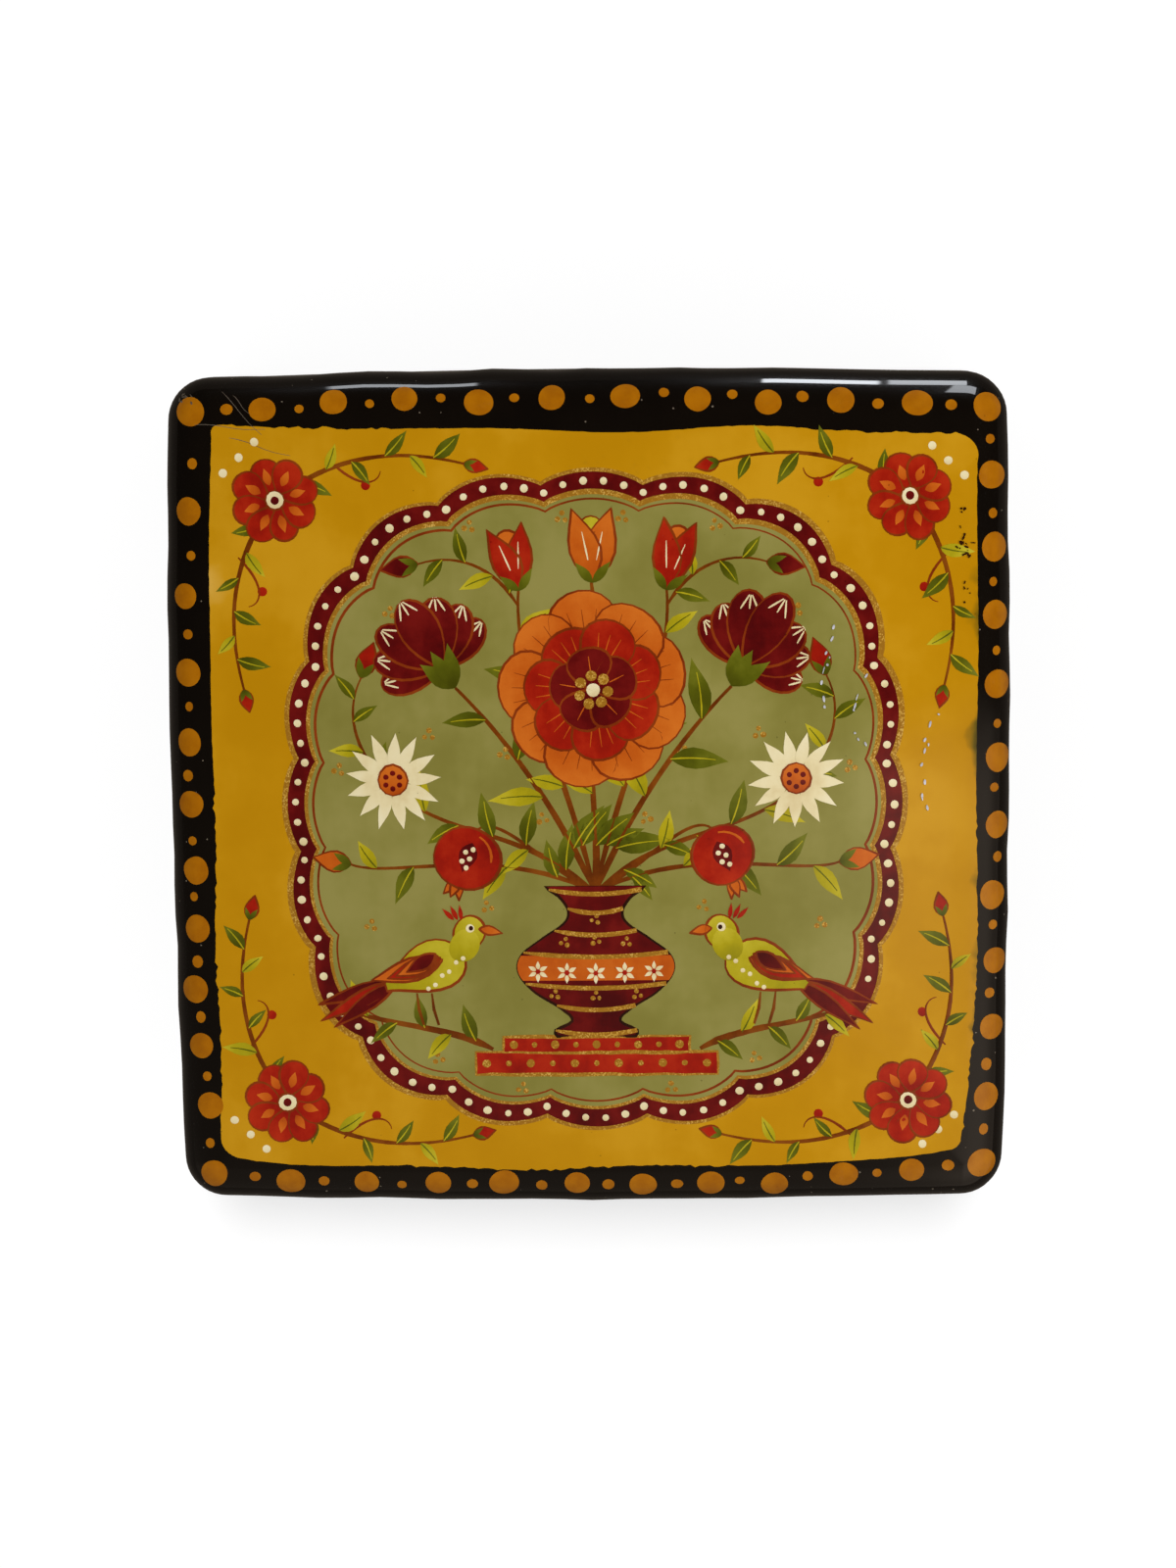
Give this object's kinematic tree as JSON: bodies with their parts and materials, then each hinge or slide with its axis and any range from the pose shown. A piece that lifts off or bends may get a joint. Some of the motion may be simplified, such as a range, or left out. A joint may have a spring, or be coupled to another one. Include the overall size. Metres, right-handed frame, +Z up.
{
  "type": "jewellery box",
  "caption": "Square lacquered papier-mache jewellery box with a pillow-topped painted lid that opens on let-in brass barrel hinges over a velvet-lined tray.",
  "frame": {"origin": "centre of the flat underside of the base", "axes": "+Z up through the lid, +X to the right as seen in the picture, +Y towards the hinged back, which is up in the picture"},
  "size_m": [0.09, 0.09, 0.0415],
  "materials": {
    "black_lacquer": "gloss",
    "red_lacquer": "satin",
    "wine_velvet": "matte",
    "brass": "satin"
  },
  "bodies": {
    "box": {"base_plate": "black_lacquer", "wall_frame": "black_lacquer", "inner_collar": "red_lacquer", "base_pad": "wine_velvet", "left_hinge_box_leaf": "brass", "left_hinge_pin": "brass", "right_hinge_box_leaf": "brass", "right_hinge_pin": "brass", "wall_nail_left_1": "brass", "wall_nail_left_2": "brass", "wall_nail_right_1": "brass", "wall_nail_right_2": "brass"},
    "lid": {"lid_shell": "black_lacquer", "lid_lining": "wine_velvet", "left_hinge_lid_leaf": "brass", "right_hinge_lid_leaf": "brass", "lid_nail_left_1": "brass", "lid_nail_left_2": "brass", "lid_nail_right_1": "brass", "lid_nail_right_2": "brass"}
  },
  "joints": [
    {"name": "lid_hinge", "type": "hinge", "parent": "box", "child": "lid", "pos_m": [0, 0.0429, 0.03015], "axis": [-1, 0, 0], "range_deg": [0, 102]}
  ]
}
